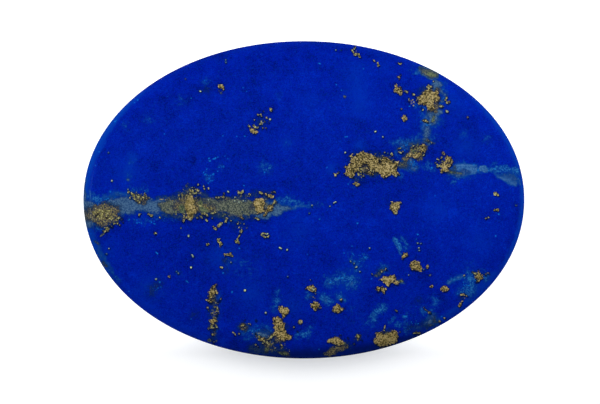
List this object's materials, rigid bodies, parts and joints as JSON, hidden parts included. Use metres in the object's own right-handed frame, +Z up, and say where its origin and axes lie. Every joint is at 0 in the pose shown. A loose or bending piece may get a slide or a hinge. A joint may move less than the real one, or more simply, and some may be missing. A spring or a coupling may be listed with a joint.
{
  "type": "oval lapis lazuli cabochon",
  "caption": "Oval polished lapis lazuli cabochon with a low dome, a narrow rounded shoulder, an upright girdle and a flat back; blue stone with brassy pyrite and pale calcite veins.",
  "frame": {"origin": "centre of the flat back, which the stone rests on", "axes": "+Z up out of the dome's apex, +X along the long axis of the oval, +Y along its short axis"},
  "size_m": [0.025, 0.018, 0.0044],
  "materials": {
    "lapis": "polished"
  },
  "bodies": {
    "root": {"lapis_cabochon": "lapis"}
  },
  "joints": []
}
